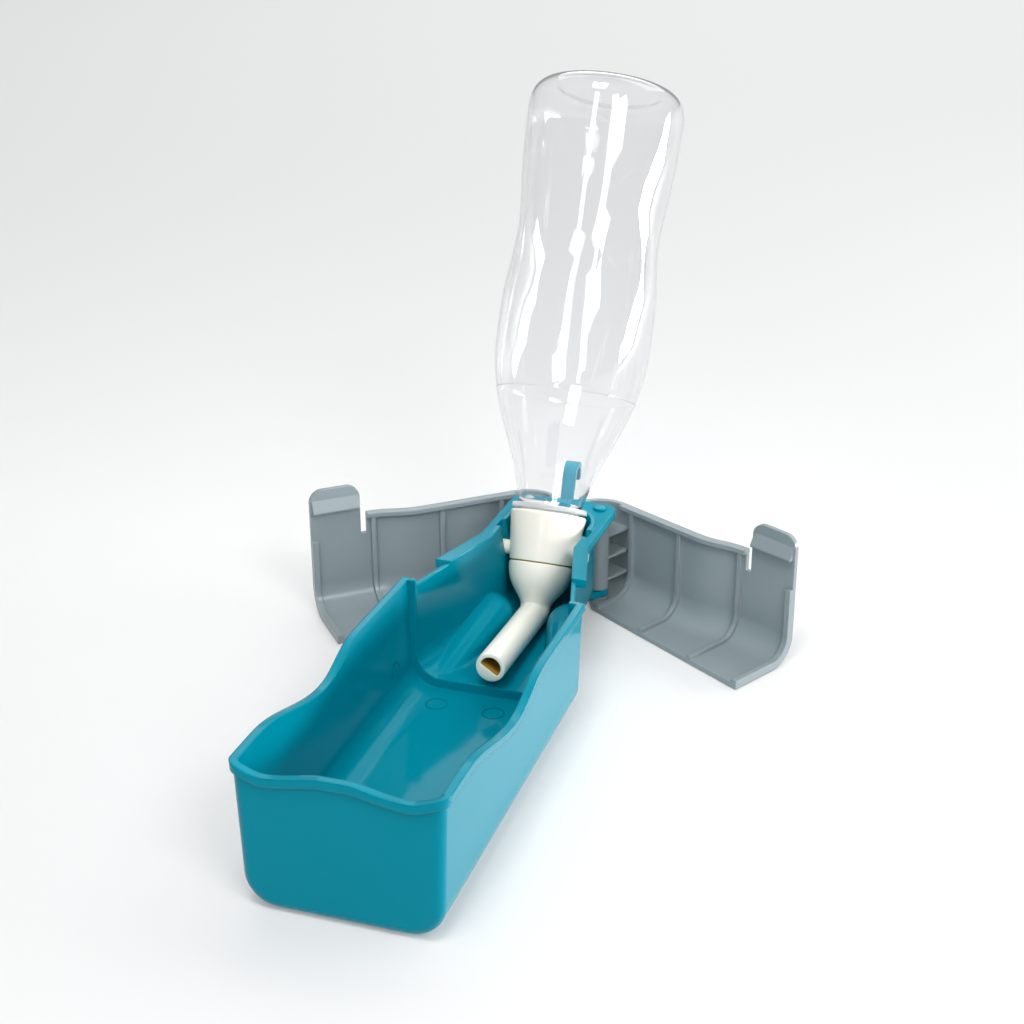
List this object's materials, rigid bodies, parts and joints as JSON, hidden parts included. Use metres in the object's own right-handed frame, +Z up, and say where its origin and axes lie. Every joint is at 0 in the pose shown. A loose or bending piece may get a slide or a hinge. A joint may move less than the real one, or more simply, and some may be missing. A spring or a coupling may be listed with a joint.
{
  "type": "dog travel water bottle",
  "caption": "Portable drinking trough for a dog, fed by an upended clear bottle through an elbow spout, with hinged side shells that swing out as feet.",
  "frame": {"origin": "middle of the trough's flat base, on the surface it stands on", "axes": "+X to the trough's right seen from the front wall, +Y from the front wall to the bottle collar at the rear, +Z up"},
  "size_m": [0.2187, 0.3586, 0.2369],
  "materials": {
    "trough_plastic": "glossy moulded polypropylene, teal",
    "shell_plastic": "satin moulded polypropylene, blue grey",
    "pin_plastic": "smooth grey acetal",
    "clear_bottle": "clear blown PET",
    "cap_plastic": "glossy cream polypropylene",
    "gasket_rubber": "soft white sealing washer",
    "seal_rubber": "amber seal ring"
  },
  "bodies": {
    "stand": {"trough": "trough_plastic", "hanging_hook": "trough_plastic", "right_hinge_pin": "pin_plastic", "left_hinge_pin": "pin_plastic"},
    "right_foot": {"right_shell": "shell_plastic"},
    "left_foot": {"left_shell": "shell_plastic"},
    "cap": {"screw_cap": "cap_plastic", "cap_gasket": "gasket_rubber"},
    "spout": {"spout": "cap_plastic", "swivel_seal": "seal_rubber"},
    "bottle": {"bottle": "clear_bottle"}
  },
  "joints": [
    {"name": "right_shell_hinge", "type": "hinge", "parent": "stand", "child": "right_foot", "pos_m": [0.0175, 0.181, 0], "axis": [0, 0, 1], "range_deg": [-60.7, 14.3]},
    {"name": "left_shell_hinge", "type": "hinge", "parent": "stand", "child": "left_foot", "pos_m": [-0.0175, 0.181, 0], "axis": [0, 0, -1], "range_deg": [-49.1, 25.9]},
    {"name": "bottle_lift", "type": "slide", "parent": "stand", "child": "cap", "axis": [0, 0, 1], "range_m": [0, 0.07]},
    {"name": "spout_swivel", "type": "hinge", "parent": "cap", "child": "spout", "pos_m": [0, 0.1598, 0.054], "axis": [0, 0.4648, 0.8854], "range_deg": [-8, 8]},
    {"name": "bottle_unscrew", "type": "hinge", "parent": "cap", "child": "bottle", "pos_m": [0, 0.1598, 0.054], "axis": [0, 0.4648, 0.8854], "range_deg": [0, 360]}
  ]
}
